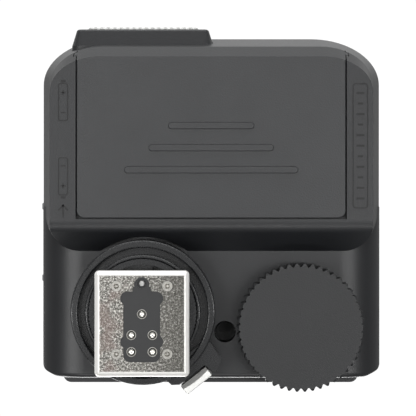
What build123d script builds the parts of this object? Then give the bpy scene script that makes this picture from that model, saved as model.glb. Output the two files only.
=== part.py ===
from build123d import *
from math import atan2, cos, degrees, radians, sin, tan
import os

# A radio flash trigger that slides into a camera's hot shoe and carries a second shoe on top.
# Millimetres. +X is the photographer's right, +Y is towards the lens and +Z is up. The origin is
# on the lock ring's axis at the bottom face of the foot plate.

os.makedirs("parts", exist_ok=True)

# ---- overall sizes ----
body_width = 69.9
body_right = 21.3
body_left = body_right - body_width
body_mid = (body_left + body_right) / 2
front_y = 56.0
rear_y = -13.7
wall = 1.8
belly_z = 6.0               # underside of the battery section
floor_z = 12.5              # underside of the rear section
split_z = 22.0              # where the two case halves meet
deck_z = 52.4               # top deck that carries the shoe
top_z = 58.0                # top of the shoe's rails
seam = 0.22                 # gap round a fitted cover
running = 0.05              # radial gap of a turning or sliding fit
press_gap = 0.02            # gap of parts that are assembled and stay put

# ---- case corners ----
front_corner = (14.2, 9.6)   # half axes of the elliptical front corners
rear_corner_x = 3.8
rear_corner_y = 1.5
tub_corner_r = 9.0
belly_side_inset = 2.7
belly_front_y = 51.0
belly_rear_y = 16.8
belly_rise = 36.0           # angle of the rear slope from vertical
belly_corner = (10.0, 7.1)
belly_rear_corner = 5.6
lip_side_inset = 2.5
lip_y = 53.2                # where the front bevel turns into the front wall
lip_z = 9.0
lip_corner = (10.4, 7.8)

# ---- battery bay and door ----
door_left = -40.4
door_right = 13.2
door_rear_y = 18.8
door_thickness = 1.5
door_wrap_z = 9.8
cell_r = 7.2
cell_length = 50.3
cell_pitch = 14.8
bay_margin = 0.2
bay_roof_z = 22.6
roof_thickness = 1.2
tongue_reach = 0.6
tongue_thickness = 0.8
tongue_lift = 0.4           # from the lid's inner face to the tongue
tongue_y = 22.0
grip_width = 1.5
grip_rise = 0.35

# ---- foot ----
foot_width = 18.6
foot_length = 20.8
foot_thickness = 2.0
foot_mid_y = -1.85
neck_width = 12.2
neck_z = 3.5
post_r = 9.6
pocket_y = 7.7
pocket_half = 5.2
contact_r = 0.925
contact_rows = (-4.1, -7.4)
contact_x = 2.07
contact_out = 0.35
contact_travel = 0.5
pin_r = 0.62
pin_y = 6.0
pin_travel = 1.5
rivet_x = 5.0
rivet_rows = (5.5, -7.8)
rivet_r = 1.0

# ---- lock ring ----
ring_r = 14.4
ring_wall = 1.5
retainer_r = 10.7
ring_collar_r = 11.5
ring_z = 4.6
ring_top_z = 12.2
recess_gap = 0.6
lever_z = (5.6, 9.0)
tab_radius = (16.1, 18.3)
tab_length = 6.3
tab_angle = 231.7

# ---- dial ----
dial_x = -31.5
dial_y = -3.1
dial_r = 12.8
dial_teeth = 50
tooth_depth = 0.7
dial_z = 6.2
dial_top_z = 11.9
shaft_r = 3.0

# ---- sloped control face ----
brow_y = -15.5
brow_z = 28.0
brow_left = -44.2
brow_right = 17.2
face_end_y = 25.0
face_end_z = 48.6
face_tilt = degrees(atan2(face_end_z - brow_z, face_end_y - brow_y))
window_x = (-37.0, 14.6)
window_s = (13.6, 42.6)
window_thickness = 0.9
key_proud = 0.7
key_travel = 0.6
key_lip = 0.7
group_x = -42.5
group_size = (6.6, 4.0)
group_first = 16.6
group_pitch = 5.75
group_count = 5
row_s = 7.0
row_first = -30.0
row_pitch = 13.6
row_size = (9.4, 4.4)
row_count = 4
set_r = 3.4

# ---- shoe on the deck ----
shoe_y = 41.0               # its centre contact
shoe_front = 8.9            # from the centre contact to the front stop
shoe_rear = 12.6
shoe_channel = 18.7
shoe_gap = 12.5
shoe_sheet = 1.3
shoe_slot = 2.1
shoe_lip = 1.4

# ---- assist lamp ----
lamp_x = (-14.1, 14.8)
lamp_z = (13.0, 33.0)
lamp_out = 1.25
lens_out = 0.7              # how far the lens stands out of the housing
lamp_back_y = 51.4
lamp_taper_y = 53.8
lamp_taper = 17.0
lamp_corner = 2.0
lamp_wall = 1.6
lamp_rim = 3.0              # from the housing's side to the edge of its aperture

# ---- side controls and sockets ----
switch_y = (21.15, 6.15)
switch_z = 27.0
switch_rib = 1.5
switch_proud = 0.6
switch_travel = 2.5
test_y = -4.65
test_z = 25.2
socket_z = 33.0
usb_y = 26.0
jack_y = 40.0
jack_r = 1.27
jack_depth = 11.0

# ---- fixings ----
well = (-16.4, -4.3)
well_r = 2.2
well_seat_z = 18.6
boss_length = 3.0
screw_r = 1.0
head_r = 1.7
head_height = 1.3
boss_r = 2.3
front_screw_x = (-35.4, -18.5)
post_screw_angles = (22, 158, 202, 338)
post_screw_radius = 7.6


def level(z):
    """The horizontal plane at height z."""
    return Plane.XY.offset(z)


def section_y(y):
    """The upright plane at y: its own axes are X and Z, and extruding by -d goes forward."""
    return Plane.XZ.offset(-y)


def section_x(x):
    """The upright plane at x: its own axes are Y and Z, and extruding by d goes to +X."""
    return Plane.YZ.offset(x)


def face_plane(height):
    """The sloped face's plane, raised by height: its own axes are X and the distance up it."""
    tilt = radians(face_tilt)
    lowest = Plane(origin=(0, brow_y, brow_z), x_dir=(1, 0, 0), z_dir=(0, -sin(tilt), cos(tilt)))
    return lowest.offset(height)


def slab(x, y, z, mode=Mode.ADD):
    """A box between two values of x, of y and of z."""
    with Locations(((x[0] + x[1]) / 2, (y[0] + y[1]) / 2, (z[0] + z[1]) / 2)):
        Box(x[1] - x[0], y[1] - y[0], z[1] - z[0], mode=mode)


def post(centre, radius, z, mode=Mode.ADD):
    """An upright cylinder between two heights."""
    with Locations((centre[0], centre[1], (z[0] + z[1]) / 2)):
        Cylinder(radius, z[1] - z[0], mode=mode)


def polar(radius, angle, centre=(0, 0)):
    """The point at a radius and an angle in degrees from a centre."""
    return (centre[0] + radius * cos(radians(angle)), centre[1] + radius * sin(radians(angle)))


def save(piece, name):
    """Labels one finished piece and writes it."""
    piece.part.label = name
    export_step(piece.part, f"parts/{name}.step")


def rounded_plan(inset, front, rear, corner, rear_corner):
    """A plan outline, set in from the body's sides, with elliptical front corners."""
    left, right = body_left + inset, body_right - inset
    with BuildSketch() as outline:
        with BuildLine():
            EllipticalCenterArc((right - corner[0], front - corner[1]), *corner, 0, arc_size=90)
            Line((right - corner[0], front), (left + corner[0], front))
            EllipticalCenterArc((left + corner[0], front - corner[1]), *corner, 90, arc_size=90)
            Line((left, front - corner[1]), (left, rear + rear_corner))
            CenterArc((left + rear_corner, rear + rear_corner), rear_corner, 180, 90)
            Line((left + rear_corner, rear), (right - rear_corner, rear))
            CenterArc((right - rear_corner, rear + rear_corner), rear_corner, 270, 90)
            Line((right, rear + rear_corner), (right, front - corner[1]))
        make_face()
    return outline.sketch


def plan_outline(inset):
    """The body's outline from above, set in from the outside by inset."""
    left, right = body_left + inset, body_right - inset
    front, rear = front_y - inset, rear_y + inset
    corner = (front_corner[0] - inset, front_corner[1] - inset)
    with BuildSketch() as outline:
        with BuildLine():
            EllipticalCenterArc((right - corner[0], front - corner[1]), *corner, 0, arc_size=90)
            Line((right - corner[0], front), (left + corner[0], front))
            EllipticalCenterArc((left + corner[0], front - corner[1]), *corner, 90, arc_size=90)
            Polyline(
                (left, front - corner[1]), (left, rear + rear_corner_y), (left + rear_corner_x, rear),
                (right - rear_corner_x, rear), (right, rear + rear_corner_y),
                (right, front - corner[1]),
            )
        make_face()
        fillet(outline.vertices().group_by(Axis.Y)[0], rear_corner_x)
        fillet(outline.vertices().filter_by(lambda v: v.Y < rear + rear_corner_y + 0.01
                                            and v.Y > rear + rear_corner_y - 0.01), wall)
    return outline.sketch


def insert_outline(grow):
    """The contact block's waisted outline, grown all round."""
    with BuildSketch() as outline:
        with Locations((0, 5.75)):
            Circle(1.5 + grow)
        with Locations((0, (3.9 - 9.35) / 2)):
            RectangleRounded(7.2 + 2 * grow, 13.25 + 2 * grow, 1.3)
        for y, half in ((3.1, 1.35), (-5.4, 1.35)):
            with Locations((0, y)):
                SlotOverall(8.4 + 2 * grow, 2 * half + 2 * grow)
        with Locations((0, 4.6)):
            Rectangle(3.6 + 2 * grow, 1.6)
    return outline.sketch


def lamp_shell(grow):
    """The lamp housing's tapered outer shape, grown all round."""
    lamp_centre = ((lamp_x[0] + lamp_x[1]) / 2, (lamp_z[0] + lamp_z[1]) / 2)
    size = (lamp_x[1] - lamp_x[0] + 2 * grow, lamp_z[1] - lamp_z[0] + 2 * grow)
    with BuildPart() as shell:
        with BuildSketch(section_y(lamp_back_y - grow)):
            with Locations(lamp_centre):
                RectangleRounded(*size, lamp_corner)
        extrude(amount=-(lamp_taper_y - lamp_back_y + grow))
        with BuildSketch(section_y(lamp_taper_y)):
            with Locations(lamp_centre):
                RectangleRounded(*size, lamp_corner)
        extrude(amount=-(front_y + lamp_out - lamp_taper_y), taper=lamp_taper)
    return shell


# ---- derived places ----
slope = tan(radians(belly_rise))
belly_top_y = belly_rear_y - (split_z - belly_z) * slope
floor_y = belly_rear_y - (floor_z - belly_z) * slope
door_mid = (door_left + door_right) / 2
bay_x = (door_left + bay_margin, door_right - bay_margin)
cell_mid_y = (door_rear_y + belly_front_y) / 2 - 0.4
cell_rows = (cell_mid_y - cell_pitch / 2, cell_mid_y + cell_pitch / 2)
bay_y = (cell_rows[0] - cell_r - 0.5, cell_rows[1] + cell_r + 0.5)
door_inner_z = belly_z + door_thickness
cell_z = door_inner_z + cell_r + 0.2
front_screw_y = bay_y[1] + head_r
inner_floor_z = floor_z + wall
hollow_corner = (front_corner[0] - wall, front_corner[1] - wall)
tongue_z = (belly_z + door_thickness + tongue_lift, belly_z + door_thickness + tongue_lift + tongue_thickness)
front_seat_z = door_wrap_z + seam + head_height + 0.3

# ============================================================ lower case
with BuildPart() as battery_block:
    for low, high in (((belly_z, belly_side_inset, belly_front_y, belly_corner, belly_rear_corner),
                       (lip_z, lip_side_inset, lip_y, lip_corner, belly_rear_corner + 0.2)),
                      ((lip_z, lip_side_inset, lip_y, lip_corner, belly_rear_corner + 0.2),
                       (split_z, 0, front_y, front_corner, belly_rear_corner + belly_side_inset))):
        with BuildSketch(level(low[0])):
            add(rounded_plan(low[1], low[2], floor_y, low[3], low[4]))
        with BuildSketch(level(high[0])):
            add(rounded_plan(high[1], high[2], floor_y, high[3], high[4]))
        loft(ruled=True)
    with BuildSketch(section_x(body_left - 5)) as slope_profile:
        with BuildLine():
            Polyline(
                (belly_rear_y, belly_z), (front_y + 1, belly_z),
                (front_y + 1, split_z), (belly_top_y, split_z), close=True,
            )
        make_face()
        fillet(slope_profile.vertices().sort_by_distance((belly_rear_y, belly_z))[0], 3.0)
    extrude(amount=body_width + 10, mode=Mode.INTERSECT)

with BuildPart() as lower_hollow:
    with BuildSketch(section_y(rear_y + wall)) as hollow:
        with Locations((body_mid, (inner_floor_z + split_z + 1) / 2)):
            Rectangle(body_width - 2 * wall, split_z + 1 - inner_floor_z)
        fillet(hollow.vertices().group_by(Axis.Y)[0], tub_corner_r - wall)
    extrude(amount=-(front_y - rear_y - 4 * wall))
    with BuildSketch(level(floor_z)):
        add(rounded_plan(wall, front_y - 3 * wall, rear_y + wall, hollow_corner, wall))
    extrude(amount=split_z + 1 - floor_z, mode=Mode.INTERSECT)

with BuildPart() as bottom_case:
    # rear tub with its wide rounded lower corners
    with BuildSketch(section_y(rear_y)) as tub:
        with Locations((body_mid, (floor_z + split_z) / 2)):
            Rectangle(body_width, split_z - floor_z)
        fillet(tub.vertices().group_by(Axis.Y)[0], tub_corner_r)
    extrude(amount=-(floor_y + tub_corner_r - rear_y))
    rear_rim = bottom_case.faces().sort_by(Axis.Y)[0].edges()
    fillet(rear_rim.filter_by(lambda e: e.center().Z < split_z - tub_corner_r / 2), 1.0)
    with BuildSketch(level(floor_z)):
        add(plan_outline(0))
    extrude(amount=split_z - floor_z, mode=Mode.INTERSECT)
    add(battery_block.part)
    add(lower_hollow.part, mode=Mode.SUBTRACT)
    # battery bay
    slab((bay_x[0] - roof_thickness, bay_x[1] + roof_thickness),
         (bay_y[0] - roof_thickness, bay_y[1] + roof_thickness),
         (floor_z, bay_roof_z + roof_thickness))
    slab(bay_x, bay_y, (belly_z, bay_roof_z), mode=Mode.SUBTRACT)
    # door opening, the step behind its wrapped edge, and the grooves for its tongues
    with BuildSketch(level(belly_z - 1)):
        with Locations((door_mid, (door_rear_y - seam + front_y) / 2)):
            Rectangle(door_right - door_left + 2 * seam, front_y - door_rear_y + seam)
    extrude(amount=1 + door_thickness + seam, mode=Mode.SUBTRACT)
    slab((door_left - seam, door_right + seam), (bay_y[1] - 0.01, front_y),
         (belly_z - 1, door_wrap_z + seam), mode=Mode.SUBTRACT)
    for edge, side in ((door_right, 1), (door_left, -1)):
        groove = sorted((edge - side * bay_margin * 2, edge + side * (tongue_reach + seam)))
        slab(groove, (tongue_y - 1, front_y), (tongue_z[0] - seam, tongue_z[1] + seam),
             mode=Mode.SUBTRACT)
    # recess for the lock ring, wells for the screws, holes for the foot and the dial's spindle
    post((0, 0), ring_r + recess_gap, (belly_z - 1, floor_z), mode=Mode.SUBTRACT)
    post(well, well_r + 1.2, (floor_z + 0.5, well_seat_z + 1.2))
    post(well, well_r, (floor_z - 1, well_seat_z), mode=Mode.SUBTRACT)
    post(well, screw_r + 0.1, (floor_z, split_z + 1), mode=Mode.SUBTRACT)
    for x in front_screw_x:
        post((x, front_screw_y), screw_r + 0.1, (belly_z, bay_roof_z + roof_thickness + 1),
             mode=Mode.SUBTRACT)
        post((x, front_screw_y), head_r + 0.1, (belly_z, front_seat_z), mode=Mode.SUBTRACT)
    post((dial_x, dial_y), shaft_r + 0.3, (floor_z - 1, inner_floor_z + 1), mode=Mode.SUBTRACT)
    for angle in post_screw_angles:
        post(polar(post_screw_radius, angle), screw_r + 0.1, (floor_z - 1, inner_floor_z + 1),
             mode=Mode.SUBTRACT)
    with BuildSketch(level(floor_z - 1)):
        add(insert_outline(0.15))
    extrude(amount=wall + 2, mode=Mode.SUBTRACT)
    # opening that the lamp housing passes through
    add(lamp_shell(0.1).part, mode=Mode.SUBTRACT)
save(bottom_case, "bottom_case")

# ============================================================ battery door
with BuildPart() as battery_door:
    wrap_inner_y = lip_y - 2.2
    with BuildSketch(section_x(door_left)):
        with BuildLine():
            Polyline(
                (door_rear_y, belly_z), (front_y, belly_z), (front_y, door_wrap_z),
                (wrap_inner_y, door_wrap_z), (wrap_inner_y - 1.2, door_inner_z),
                (door_rear_y, door_inner_z), close=True,
            )
        make_face()
    extrude(amount=door_right - door_left)
    rear_corners = battery_door.edges().filter_by(Axis.Z).group_by(Axis.Y)[0]
    fillet(rear_corners, 1.5)
    rear_rim = battery_door.faces().sort_by(Axis.Z)[0].edges().filter_by(
        lambda e: e.center().Y < front_y - 1)
    fillet(rear_rim, 0.25)
    # tongues that run in the case's grooves
    for edge, side in ((door_right, 1), (door_left, -1)):
        riser = sorted((edge - side * 0.4, edge - side * 1.2))
        slab(riser, (tongue_y, belly_front_y), (door_inner_z, tongue_z[1]))
        tongue = sorted((edge - side * 1.2, edge + side * tongue_reach))
        slab(tongue, (tongue_y, front_y), tongue_z)
    # the outside follows the case's front
    add(battery_block.part, mode=Mode.INTERSECT)
    # three grip bars that get longer towards the rear
    for y, length in ((37.2, 17.3), (32.8, 25.1), (28.4, 34.8)):
        with BuildSketch(level(belly_z + 0.2)):
            with Locations((door_mid, y)):
                SlotOverall(length, grip_width)
        extrude(amount=-(grip_rise + 0.2), taper=18)
save(battery_door, "battery_door")

# ============================================================ upper case
with BuildPart() as upper_hollow:
    with BuildSketch(level(split_z - 1)):
        add(plan_outline(wall))
    extrude(amount=deck_z - split_z)
    with BuildSketch(section_x(body_left - 5)):
        with BuildLine():
            lift = wall / cos(radians(face_tilt))
            Polyline(
                (rear_y, split_z - 1), (front_y, split_z - 1), (front_y, deck_z - wall),
                (face_end_y + 2.2 + wall, deck_z - wall),
                (face_end_y + wall, face_end_z - lift + wall * tan(radians(face_tilt))),
                (rear_y, brow_z - lift + (rear_y - brow_y) * tan(radians(face_tilt))), close=True,
            )
        make_face()
    extrude(amount=body_width + 10, mode=Mode.INTERSECT)

with BuildPart() as top_case:
    with BuildSketch(level(split_z)):
        add(plan_outline(0))
    extrude(amount=deck_z - split_z)
    with BuildSketch(level(split_z)) as brow:
        with Locations(((brow_left + brow_right) / 2, (brow_y + 0) / 2)):
            Rectangle(brow_right - brow_left, -brow_y)
        fillet(brow.vertices().group_by(Axis.Y)[0], 1.7)
    extrude(amount=deck_z - split_z)
    with BuildSketch(section_x(body_left - 5)) as side_profile:
        with BuildLine():
            Polyline(
                (brow_y, split_z), (front_y, split_z), (front_y, deck_z - 7),
                (front_y - 2, deck_z), (face_end_y + 2.2, deck_z), (face_end_y, face_end_z),
                (brow_y, brow_z), close=True,
            )
        make_face()
        fillet(side_profile.vertices().sort_by_distance((front_y - 2, deck_z))[0], 2.0)
        fillet(side_profile.vertices().sort_by_distance((face_end_y + 2.2, deck_z))[0], 0.8)
        fillet(side_profile.vertices().sort_by_distance((brow_y, brow_z))[0], 1.6)
    extrude(amount=body_width + 10, mode=Mode.INTERSECT)
    add(upper_hollow.part, mode=Mode.SUBTRACT)
    # display recess and key holes
    window_mid = (sum(window_x) / 2, sum(window_s) / 2)
    with BuildSketch(face_plane(1)):
        with Locations(window_mid):
            RectangleRounded(window_x[1] - window_x[0], window_s[1] - window_s[0], 1.2)
    extrude(amount=-(1 + window_thickness), mode=Mode.SUBTRACT)
    with BuildSketch(face_plane(1)):
        with Locations(window_mid):
            RectangleRounded(window_x[1] - window_x[0] - 4, window_s[1] - window_s[0] - 4, 0.8)
        for i in range(group_count):
            with Locations((group_x, group_first + i * group_pitch)):
                RectangleRounded(group_size[0] + 0.4, group_size[1] + 0.4, 1.2)
        for i in range(row_count):
            with Locations((row_first + i * row_pitch, row_s)):
                RectangleRounded(row_size[0] + 0.4, row_size[1] + 0.4, 1.4)
        with Locations((group_x, row_s)):
            Circle(set_r + 0.2)
    extrude(amount=-(2 + wall), mode=Mode.SUBTRACT)
    # side openings: two switch slots, the test button, and the two sockets opposite
    for y in switch_y:
        slab((body_right - wall - 1, body_right + 1), (y - 1.4, y + 1.4 + switch_travel),
             (switch_z - 2.3, switch_z + 2.3), mode=Mode.SUBTRACT)
    slab((body_right - wall - 1, body_right + 1), (test_y - 2.05, test_y + 2.05),
         (test_z - 1.6, test_z + 1.6), mode=Mode.SUBTRACT)
    with BuildSketch(section_x(body_left - 1)):
        with Locations((usb_y, socket_z)):
            SlotOverall(10.0, 4.4)
        with Locations((jack_y, socket_z)):
            Circle(3.0)
    extrude(amount=wall + 2, mode=Mode.SUBTRACT)
    # lamp housing opening, shoe screw holes and the status light's hole
    add(lamp_shell(0.1).part, mode=Mode.SUBTRACT)
    for x in (-6.8, 6.8):
        for y in (shoe_y - 9.0, shoe_y + 5.4):
            post((x, y), screw_r + 0.1, (deck_z - 5, deck_z + 1), mode=Mode.SUBTRACT)
    post((-17.5, shoe_y + 6), 1.1, (deck_z - 5, deck_z + 1), mode=Mode.SUBTRACT)
    # screw bosses, each on a rib from the nearest wall
    boss_z = (well_seat_z + 1.3, well_seat_z + 1.3 + boss_length)
    post(well, boss_r, boss_z)
    slab((well[0] - 1.5, well[0] + 1.5), (rear_y + wall + 0.15, well[1]), boss_z)
    slab((well[0] - 1.5, well[0] + 1.5), (rear_y + 0.5, rear_y + wall + 1), (split_z, boss_z[1]))
    post(well, screw_r - 0.1, boss_z, mode=Mode.SUBTRACT)
    front_boss_z = (bay_roof_z + roof_thickness + 0.2, bay_roof_z + roof_thickness + 7)
    for x in front_screw_x:
        post((x, front_screw_y), boss_r, front_boss_z)
        slab((x - 1.2, x + 1.2), (front_screw_y, front_y - 1), front_boss_z)
        post((x, front_screw_y), screw_r - 0.1, front_boss_z, mode=Mode.SUBTRACT)
save(top_case, "top_case")

# ============================================================ assist lamp
lamp_w = lamp_x[1] - lamp_x[0]
lamp_h = lamp_z[1] - lamp_z[0]
lamp_mid = (sum(lamp_x) / 2, sum(lamp_z) / 2)
lens_y = front_y - 0.4
with BuildPart() as lamp_housing:
    add(lamp_shell(0).part)
    fillet(lamp_housing.edges().group_by(Axis.Y)[-1], 0.6)
    with BuildSketch(section_y(lamp_back_y - 1)):
        with Locations(lamp_mid):
            RectangleRounded(lamp_w - 2 * lamp_wall, lamp_h - 2 * lamp_wall, 1.2)
    extrude(amount=-(lens_y - lamp_back_y + 1), mode=Mode.SUBTRACT)
    with BuildSketch(section_y(lamp_back_y)):
        with Locations(lamp_mid):
            RectangleRounded(lamp_w - 2 * lamp_rim, lamp_h - 2 * lamp_rim, 2.0)
    extrude(amount=-(front_y - lamp_back_y + lamp_out + 1), mode=Mode.SUBTRACT)
save(lamp_housing, "lamp_housing")

with BuildPart() as lamp_lens:
    with BuildSketch(section_y(lens_y - 1.2)):
        with Locations(lamp_mid):
            RectangleRounded(lamp_w - 2 * lamp_wall - 0.4, lamp_h - 2 * lamp_wall - 0.4, 1.0)
    extrude(amount=-1.15)
    with BuildSketch(section_y(lens_y - 1.2)):
        with Locations(lamp_mid):
            RectangleRounded(lamp_w - 2 * lamp_rim - 0.2, lamp_h - 2 * lamp_rim - 0.2, 1.9)
    extrude(amount=-(front_y + lamp_out + lens_out - lens_y + 1.2))
    fillet(lamp_lens.edges().group_by(Axis.Y)[-1], 0.45)
save(lamp_lens, "lamp_lens")

with BuildPart() as lamp_led:
    slab((lamp_mid[0] - 4, lamp_mid[0] + 4), (lamp_back_y + 0.4, lamp_back_y + 1.4),
         (lamp_mid[1] + 0.6, lamp_mid[1] + 6.4))
    with Locations((lamp_mid[0], lamp_back_y + 2.2, lamp_mid[1] + 3.5)):
        Box(3.5, 1.6, 3.5)
save(lamp_led, "lamp_led")

# ============================================================ foot
foot_y = (foot_mid_y - foot_length / 2, foot_mid_y + foot_length / 2)

insert_z = 0.15
insert_top_z = inner_floor_z + 1.5
with BuildPart() as foot_plate:
    with BuildSketch():
        with Locations((0, foot_mid_y)):
            RectangleRounded(foot_width, foot_length, 0.9)
    extrude(amount=foot_thickness)
    fillet(foot_plate.edges().group_by(Axis.Z)[0], 0.8)
    fillet(foot_plate.edges().group_by(Axis.Z)[-1], 0.3)
    with BuildSketch():
        add(insert_outline(press_gap))
    extrude(amount=foot_thickness, mode=Mode.SUBTRACT)
    for x in (-rivet_x, rivet_x):
        for y in rivet_rows:
            post((x, y), 0.75, (-1, foot_thickness + 1), mode=Mode.SUBTRACT)
            with Locations((x, y, 0.25)):
                Cone(rivet_r + 0.05, 0.8, 0.5, mode=Mode.SUBTRACT)
save(foot_plate, "foot_plate")

with BuildPart() as foot_rivets:
    for x in (-rivet_x, rivet_x):
        for y in rivet_rows:
            post((x, y), 0.74, (0.3, neck_z - 0.2))
            with Locations((x, y, 0.25)):
                Cone(rivet_r, 0.74, 0.5)
            with Locations((x, y, 0)):
                Sphere(0.5, mode=Mode.SUBTRACT)
save(foot_rivets, "foot_rivets")

contacts = {"contact_centre": (0, 0)}
for row, row_name in zip(contact_rows, ("front", "rear")):
    for x, side_name in ((-contact_x, "left"), (contact_x, "right")):
        contacts[f"contact_{row_name}_{side_name}"] = (x, row)

with BuildPart() as foot_insert:
    with BuildSketch(level(insert_z)):
        add(insert_outline(0))
    extrude(amount=neck_z - insert_z)
    with BuildSketch(level(neck_z)):
        add(insert_outline(0))
        Circle(post_r - 0.3, mode=Mode.INTERSECT)
    extrude(amount=insert_top_z - neck_z)
    for place in contacts.values():
        post(place, contact_r + running, (0, 4.2), mode=Mode.SUBTRACT)
        post(place, contact_r + 0.32, (4.2, inner_floor_z), mode=Mode.SUBTRACT)
    post((0, pin_y), pin_r + running, (0, 20), mode=Mode.SUBTRACT)
    post((0, pin_y), pin_r + 0.35, (0, 0.45), mode=Mode.SUBTRACT)
save(foot_insert, "foot_insert")

with BuildPart() as foot_post:
    slab((-neck_width / 2, neck_width / 2), (foot_y[0] + 1.4, foot_y[1] - 1.2),
         (foot_thickness, neck_z))
    fillet(foot_post.edges().filter_by(Axis.Z), 1.5)
    post((0, 0), post_r, (neck_z, floor_z))
    with BuildSketch(level(foot_thickness)):
        add(insert_outline(press_gap))
    extrude(amount=neck_z - foot_thickness, mode=Mode.SUBTRACT)
    with BuildSketch(level(neck_z - 0.01)):
        add(insert_outline(press_gap))
        Circle(post_r - 0.3 + press_gap, mode=Mode.INTERSECT)
    extrude(amount=floor_z - neck_z + 0.01, mode=Mode.SUBTRACT)
    for x in (-rivet_x, rivet_x):
        for y in rivet_rows:
            post((x, y), 0.75, (foot_thickness - 1, neck_z - 0.15), mode=Mode.SUBTRACT)
    # pocket in front of the foot, with the lock's deeper notch in it
    slab((-pocket_half, pocket_half), (pocket_y, post_r), (neck_z, neck_z + 1.8), mode=Mode.SUBTRACT)
    slab((-3.1, -1.9), (pocket_y + 0.3, post_r), (neck_z, neck_z + 4), mode=Mode.SUBTRACT)
    for angle in post_screw_angles:
        post(polar(post_screw_radius, angle), screw_r - 0.1, (7.4, floor_z + 1), mode=Mode.SUBTRACT)
save(foot_post, "foot_post")

with BuildPart() as post_screws:
    for angle in post_screw_angles:
        place = polar(post_screw_radius, angle)
        post(place, screw_r - 0.1, (7.6, inner_floor_z))
        post(place, head_r, (inner_floor_z, inner_floor_z + head_height))
save(post_screws, "post_screws")

dome_z = contact_r - contact_out
for name, place in contacts.items():
    with BuildPart() as contact:
        post(place, contact_r, (dome_z, 4.4))
        with Locations((place[0], place[1], dome_z)):
            Sphere(contact_r, arc_size1=-90, arc_size2=0)
        post(place, contact_r + 0.2, (4.4, 5.4))
        post(place, 0.55, (5.4, 6.6))
    save(contact, name)

with BuildPart() as contact_springs:
    for place in contacts.values():
        post(place, contact_r + 0.12, (5.4 + contact_travel + 0.1, inner_floor_z))
        post(place, 0.7, (5.4, inner_floor_z + 1), mode=Mode.SUBTRACT)
save(contact_springs, "contact_springs")

with BuildPart() as lock_pin:
    pin_head_z = insert_top_z + pin_travel + 0.1
    post((0, pin_y), pin_r, (0.1, pin_head_z))
    chamfer(lock_pin.edges().group_by(Axis.Z)[0], 0.15)
    post((0, pin_y), 1.3, (pin_head_z, pin_head_z + 1.1))
save(lock_pin, "lock_pin")

with BuildPart() as ring_retainer:
    post((0, 0), retainer_r, (neck_z, ring_z - 0.2))
    post((0, 0), post_r + press_gap, (neck_z - 1, ring_z), mode=Mode.SUBTRACT)
    for side in (0, 180):
        for i in range(-4, 5):
            post(polar(retainer_r + 0.12, side + 4.2 * i), 0.27, (neck_z - 1, ring_z),
                 mode=Mode.SUBTRACT)
save(ring_retainer, "ring_retainer")

# ============================================================ lock ring and its lever
ring_bore = post_r + running
with BuildPart() as lock_ring:
    with BuildSketch(Plane.XZ):
        with BuildLine():
            Polyline(
                (ring_bore, ring_z + 1.2), (ring_bore + 1.0, ring_z + 1.2), (ring_bore + 1.0, ring_z),
                (ring_collar_r, ring_z), (ring_collar_r, ring_z + 2.8),
                (ring_r - ring_wall, ring_z + 2.8), (ring_r - ring_wall, ring_z + 0.5),
                (ring_r, ring_z + 0.5), (ring_r, ring_top_z), (ring_bore, ring_top_z), close=True,
            )
        make_face()
    revolve(axis=Axis.Z)
    rims = lock_ring.edges().filter_by(GeomType.CIRCLE).filter_by(
        lambda e: e.center().Z < ring_z + 0.6 and e.radius > ring_bore + 0.5)
    fillet(rims, 0.35)
    with BuildSketch(level(lever_z[0])) as lever:
        with BuildLine():
            Polyline(
                polar(ring_r - 1, 203.9), polar(ring_r + 0.3, 203.9), polar(18.3, 210.7),
                polar(18.8, 219.5), polar(tab_radius[0], 220.5), polar(tab_radius[0], 243.0),
                polar(15.5, 248.4), polar(ring_r - 1, 252.6), close=True,
            )
        make_face()
        fillet(lever.vertices().sort_by_distance(polar(18.3, 210.7))[0], 1.2)
        fillet(lever.vertices().sort_by_distance(polar(18.8, 219.5))[0], 0.5)
    extrude(amount=lever_z[1] - lever_z[0])
    # tang that the bright end piece is pressed over
    tang = Plane(origin=(0, 0, (lever_z[0] + lever_z[1]) / 2), x_dir=(*polar(1, tab_angle), 0),
                 z_dir=(0, 0, 1))
    with BuildSketch(tang):
        with Locations(((tab_radius[0] + 1.2 + ring_r) / 2, 0)):
            Rectangle(tab_radius[0] + 1.2 - ring_r + 1, tab_length - 2.4)
    extrude(amount=0.9, both=True)
save(lock_ring, "lock_ring")

with BuildPart() as lock_tab:
    with BuildSketch(tang):
        with Locations((sum(tab_radius) / 2, 0)):
            RectangleRounded(tab_radius[1] - tab_radius[0], tab_length, 0.3)
    extrude(amount=(lever_z[1] - lever_z[0]) / 2 + 0.4, both=True)
    fillet(lock_tab.edges().group_by(Axis.Z)[0], 0.2)
    with BuildSketch(tang):
        with Locations(((tab_radius[0] + 1.2 + ring_r) / 2, 0)):
            Rectangle(tab_radius[0] + 1.2 - ring_r + 1, tab_length - 2.4)
    extrude(amount=0.9, both=True, mode=Mode.SUBTRACT)
save(lock_tab, "lock_tab")

# ============================================================ select dial
with BuildPart() as dial_blank:
    post((dial_x, dial_y), dial_r + 0.1, (dial_z, dial_top_z))
    chamfer(dial_blank.edges().filter_by(GeomType.CIRCLE), 0.55)

with BuildPart() as select_dial:
    with BuildSketch(level(dial_z)):
        with BuildLine():
            step = 360 / dial_teeth
            rim_points = []
            for i in range(dial_teeth):
                rim_points.append(polar(dial_r, step * (i - 0.10), (dial_x, dial_y)))
                rim_points.append(polar(dial_r, step * (i + 0.10), (dial_x, dial_y)))
                rim_points.append(polar(dial_r - tooth_depth, step * (i + 0.42), (dial_x, dial_y)))
                rim_points.append(polar(dial_r - tooth_depth, step * (i + 0.58), (dial_x, dial_y)))
            Polyline(*rim_points, close=True)
        make_face()
    extrude(amount=dial_top_z - dial_z)
    add(dial_blank.part, mode=Mode.INTERSECT)
    post((dial_x, dial_y), shaft_r - 0.5, (dial_z + 2.5, dial_top_z + 1), mode=Mode.SUBTRACT)
save(select_dial, "select_dial")

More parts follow.
